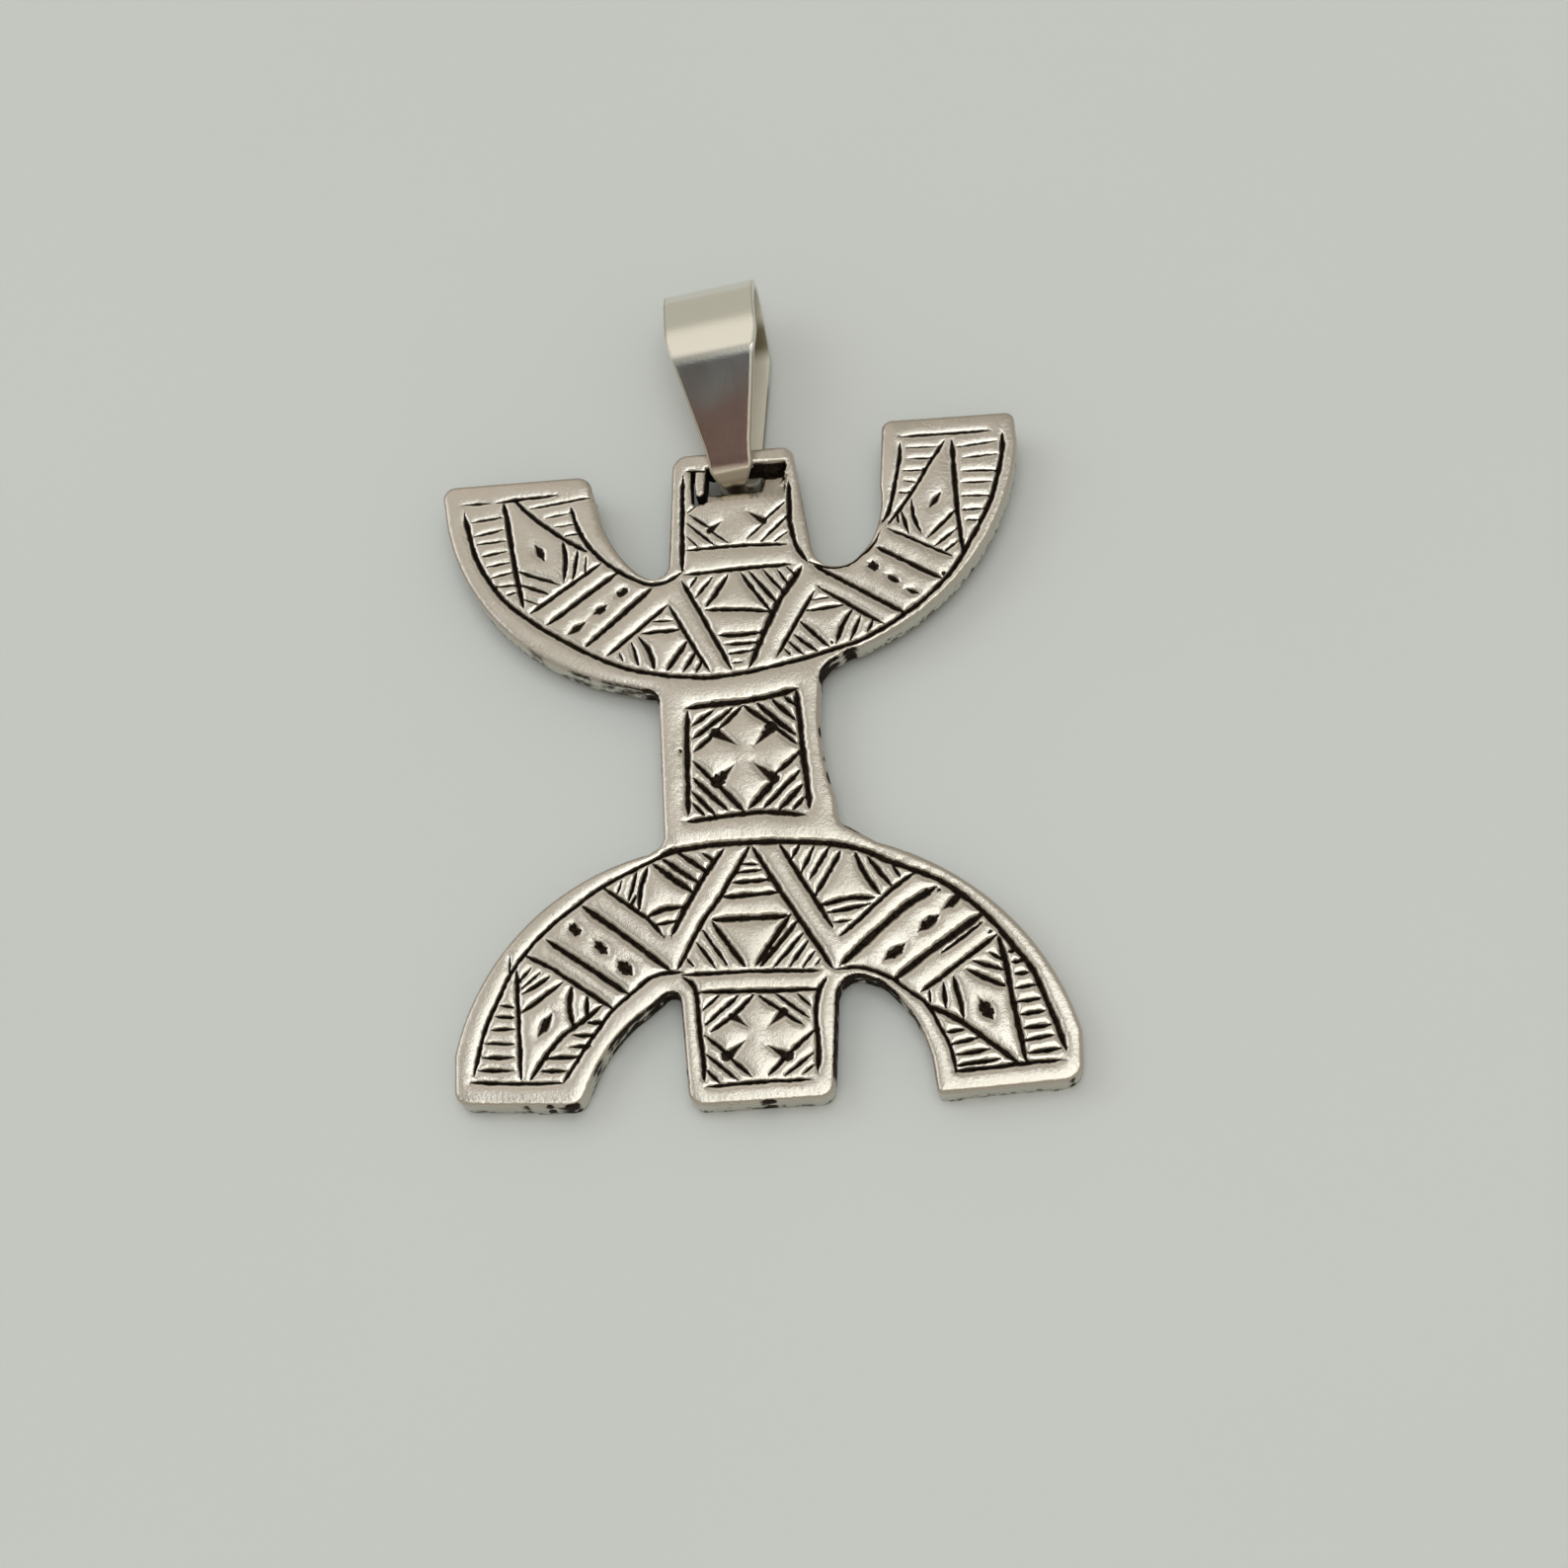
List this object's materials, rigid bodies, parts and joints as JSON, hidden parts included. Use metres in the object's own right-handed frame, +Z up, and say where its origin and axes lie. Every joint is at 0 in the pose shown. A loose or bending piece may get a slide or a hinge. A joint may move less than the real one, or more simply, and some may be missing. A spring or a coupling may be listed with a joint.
{
  "type": "engraved berber pendant with strap bail, lying face up",
  "caption": "Flat silver pendant in the form of the letter yaz, with hand engraved chevrons and hatching, hung on a folded strap bail that swings on a bar across its top prong.",
  "frame": {"origin": "middle of the bounding box, on the surface that the pendant lies on", "axes": "+X across the pendant to the right as it is seen, +Y from the feet to the bail, +Z up out of the engraved face"},
  "size_m": [0.0347, 0.0512, 0.0054],
  "materials": {
    "engraved_silver": "worn cast silver, warm grey, with near black tarnish in the engraved cuts",
    "polished_silver": "plain polished silver strap with light wear"
  },
  "bodies": {
    "pendant": {"pendant_plate": "engraved_silver"},
    "bail": {"bail": "polished_silver"}
  },
  "joints": [
    {"name": "bail_swing", "type": "hinge", "parent": "pendant", "child": "bail", "pos_m": [0, 0.01374, 0.00192], "axis": [1, 0, 0], "range_deg": [-90, 90]}
  ]
}
